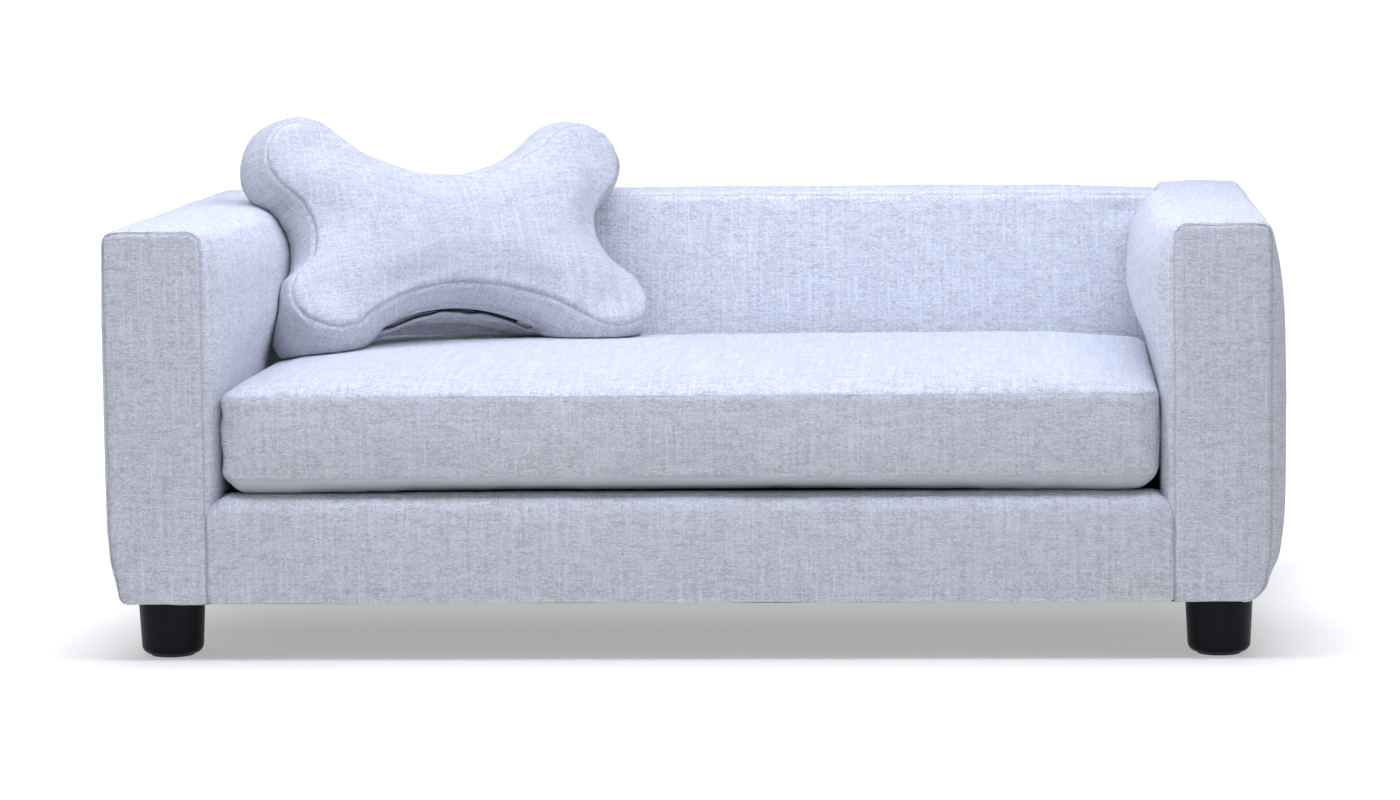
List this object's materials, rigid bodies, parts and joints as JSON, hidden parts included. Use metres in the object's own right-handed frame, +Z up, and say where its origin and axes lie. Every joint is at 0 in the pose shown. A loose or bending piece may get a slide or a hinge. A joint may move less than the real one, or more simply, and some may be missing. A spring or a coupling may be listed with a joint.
{
  "type": "dog sofa bed",
  "caption": "Box-arm upholstered dog sofa: padded timber frame on screw-in legs, loose zipped seat cushion and a bone-shaped zipped pillow.",
  "frame": {"origin": "on the floor, under the middle of the bed's bounding box", "axes": "+X to the bed's right as seen from the front, -Y out of the open front, +Z up"},
  "size_m": [1.016, 0.61, 0.4719],
  "materials": {
    "upholstery": "chunky slubbed chenille, bluish white with warm grey flecks",
    "timber": "planed softwood, unfinished",
    "plywood": "raw birch plywood",
    "foam": "open-cell upholstery foam and wadding",
    "black_cloth": "black non-woven cambric",
    "leg_plastic": "satin black polypropylene",
    "zinc_steel": "zinc-plated steel",
    "zip_cloth": "navy woven zip tape",
    "zip_coil": "navy nylon coil",
    "glide_rubber": "dark grey rubber"
  },
  "bodies": {
    "frame": {"front_rail_board": "timber", "rear_rail_board": "timber", "deck_board": "plywood", "deck_supports": "timber", "left_arm_outer_panel": "plywood", "left_arm_inner_panel": "plywood", "left_arm_front_board": "plywood", "left_arm_rear_board": "plywood", "left_arm_top_rail": "timber", "left_arm_base_board": "timber", "right_arm_outer_panel": "plywood", "right_arm_inner_panel": "plywood", "right_arm_front_board": "plywood", "right_arm_rear_board": "plywood", "right_arm_top_rail": "timber", "right_arm_base_board": "timber", "back_front_panel": "plywood", "back_rear_panel": "plywood", "back_top_rail": "timber", "back_uprights": "timber", "leg_tee_nuts": "zinc_steel", "frame_screws": "zinc_steel", "cover_staples": "zinc_steel", "dust_cover": "black_cloth", "left_arm_pad": "foam", "right_arm_pad": "foam", "back_pad": "foam", "front_rail_pad": "foam", "left_arm_cover": "upholstery", "left_arm_front_cover": "upholstery", "right_arm_cover": "upholstery", "right_arm_front_cover": "upholstery", "back_cover": "upholstery", "front_rail_cover": "upholstery", "deck_cloth": "black_cloth"},
    "seat_cushion": {"seat_cushion_cover": "upholstery", "seat_cushion_foam": "foam", "seat_zip_tapes": "zip_cloth", "seat_zip_coil": "zip_coil"},
    "seat_zip_slider": {"seat_zip_slider": "zinc_steel"},
    "bone_pillow": {"bone_pillow_cover": "upholstery", "bone_pillow_filling": "foam", "bone_zip_tapes": "zip_cloth", "bone_zip_coil": "zip_coil"},
    "bone_zip_slider": {"bone_zip_slider": "zinc_steel"},
    "front_left_leg": {"front_left_leg": "leg_plastic", "front_left_leg_stud": "zinc_steel", "front_left_leg_glide": "glide_rubber"},
    "front_right_leg": {"front_right_leg": "leg_plastic", "front_right_leg_stud": "zinc_steel", "front_right_leg_glide": "glide_rubber"},
    "rear_left_leg": {"rear_left_leg": "leg_plastic", "rear_left_leg_stud": "zinc_steel", "rear_left_leg_glide": "glide_rubber"},
    "rear_right_leg": {"rear_right_leg": "leg_plastic", "rear_right_leg_stud": "zinc_steel", "rear_right_leg_glide": "glide_rubber"}
  },
  "joints": [
    {"name": "seat_cushion_slide", "type": "slide", "parent": "frame", "child": "seat_cushion", "axis": [0, -1, 0], "range_m": [0, 0.52]},
    {"name": "seat_zip_run", "type": "slide", "parent": "seat_cushion", "child": "seat_zip_slider", "axis": [-1, 0, 0], "range_m": [0, 0.64]},
    {"name": "bone_pillow_lift", "type": "slide", "parent": "seat_cushion", "child": "bone_pillow", "axis": [0.3003, -0.4504, 0.8408], "range_m": [0, 0.3]},
    {"name": "bone_zip_run", "type": "hinge", "parent": "bone_pillow", "child": "bone_zip_slider", "pos_m": [-0.21579, 0.00335, 0.12995], "axis": [0.4803, -0.7686, 0.4226], "range_deg": [0, 48]},
    {"name": "front_left_leg_screw", "type": "hinge", "parent": "frame", "child": "front_left_leg", "pos_m": [-0.463, -0.26, 0], "axis": [0, 0, 1], "continuous": true},
    {"name": "front_right_leg_screw", "type": "hinge", "parent": "frame", "child": "front_right_leg", "pos_m": [0.463, -0.26, 0], "axis": [0, 0, 1], "continuous": true},
    {"name": "rear_left_leg_screw", "type": "hinge", "parent": "frame", "child": "rear_left_leg", "pos_m": [-0.463, 0.26, 0], "axis": [0, 0, 1], "continuous": true},
    {"name": "rear_right_leg_screw", "type": "hinge", "parent": "frame", "child": "rear_right_leg", "pos_m": [0.463, 0.26, 0], "axis": [0, 0, 1], "continuous": true}
  ]
}
